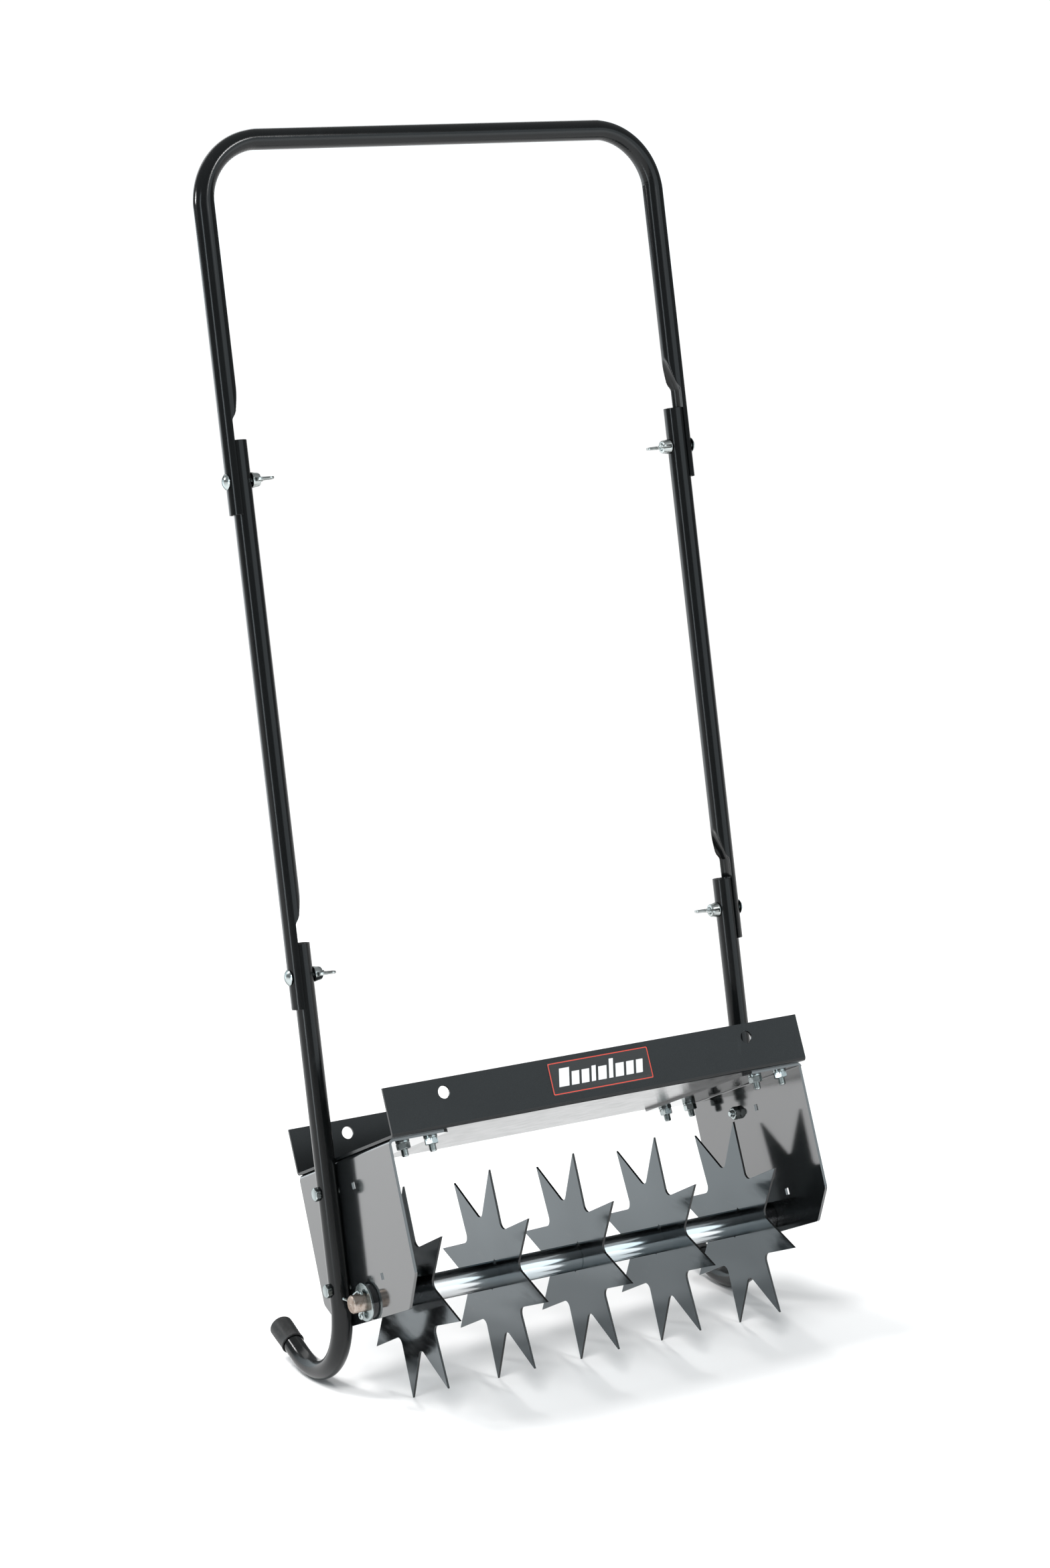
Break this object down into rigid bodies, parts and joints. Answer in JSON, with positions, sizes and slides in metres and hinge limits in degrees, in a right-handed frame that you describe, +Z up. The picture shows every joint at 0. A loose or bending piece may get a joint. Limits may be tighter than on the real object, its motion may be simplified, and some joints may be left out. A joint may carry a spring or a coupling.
{
  "type": "push spike aerator",
  "caption": "Walk-behind lawn spike aerator: star-shaped spike discs on a spacer-tube axle under a tilted weight tray, with a bolted tube handle and hooked legs.",
  "frame": {"origin": "on the ground, centred left to right and front to back under the standing machine", "axes": "+X along the axle to the machine's right, +Y to the back where the handle leans and the hooks stand, +Z up"},
  "size_m": [0.5728, 0.346, 1.315],
  "materials": {
    "tube_paint": "satin black powder coat",
    "plate_paint": "gloss black powder coat",
    "tray_paint": "satin black powder coat",
    "label_metal": "black plate with a thin red rim and plain white marks, no lettering",
    "cap_vinyl": "matte black dipped vinyl",
    "axle_steel": "plain turned steel with a thin brown film",
    "disc_steel": "semi-gloss gunmetal grey",
    "galvanized": "bright galvanized tube",
    "end_spacer_steel": "dark gloss",
    "zinc_plate": "bright zinc plate"
  },
  "bodies": {
    "frame": {"left_end_plate": "plate_paint", "right_end_plate": "plate_paint", "weight_tray": "tray_paint", "front_label": "label_metal", "left_leg_tube": "tube_paint", "right_leg_tube": "tube_paint", "left_leg_cap": "cap_vinyl", "right_leg_cap": "cap_vinyl", "left_middle_tube": "tube_paint", "right_middle_tube": "tube_paint", "upper_handle": "tube_paint", "axle_rod": "axle_steel", "left_axle_washer": "zinc_plate", "right_axle_washer": "zinc_plate", "left_cotter_pin": "zinc_plate", "right_cotter_pin": "zinc_plate", "upper_carriage_bolts": "zinc_plate", "lower_carriage_bolts": "zinc_plate", "leg_bolts": "zinc_plate", "leg_nuts": "zinc_plate", "tray_bolts": "zinc_plate", "tray_lock_washers": "zinc_plate", "tray_nuts": "zinc_plate"},
    "rotor": {"star_disc_1": "disc_steel", "star_disc_2": "disc_steel", "star_disc_3": "disc_steel", "star_disc_4": "disc_steel", "star_disc_5": "disc_steel", "spacer_tube_1": "galvanized", "spacer_tube_2": "galvanized", "spacer_tube_3": "galvanized", "spacer_tube_4": "galvanized", "left_end_spacer": "end_spacer_steel", "right_end_spacer": "end_spacer_steel"},
    "upper_left_wing_nut": {"upper_left_wing_nut": "zinc_plate"},
    "upper_right_wing_nut": {"upper_right_wing_nut": "zinc_plate"},
    "lower_left_wing_nut": {"lower_left_wing_nut": "zinc_plate"},
    "lower_right_wing_nut": {"lower_right_wing_nut": "zinc_plate"}
  },
  "joints": [
    {"name": "rotor_spin", "type": "hinge", "parent": "frame", "child": "rotor", "pos_m": [0, -0.05873, 0.1143], "axis": [1, 0, 0], "continuous": true},
    {"name": "upper_left_wing_nut_turn", "type": "hinge", "parent": "frame", "child": "upper_left_wing_nut", "pos_m": [-0.25, 0.11051, 0.95559], "axis": [1, 0, 0], "continuous": true},
    {"name": "upper_right_wing_nut_turn", "type": "hinge", "parent": "frame", "child": "upper_right_wing_nut", "pos_m": [0.25, 0.11051, 0.95559], "axis": [1, 0, 0], "continuous": true},
    {"name": "lower_left_wing_nut_turn", "type": "hinge", "parent": "frame", "child": "lower_left_wing_nut", "pos_m": [-0.245, 0.03498, 0.44414], "axis": [1, 0, 0], "continuous": true},
    {"name": "lower_right_wing_nut_turn", "type": "hinge", "parent": "frame", "child": "lower_right_wing_nut", "pos_m": [0.245, 0.03498, 0.44414], "axis": [1, 0, 0], "continuous": true}
  ]
}
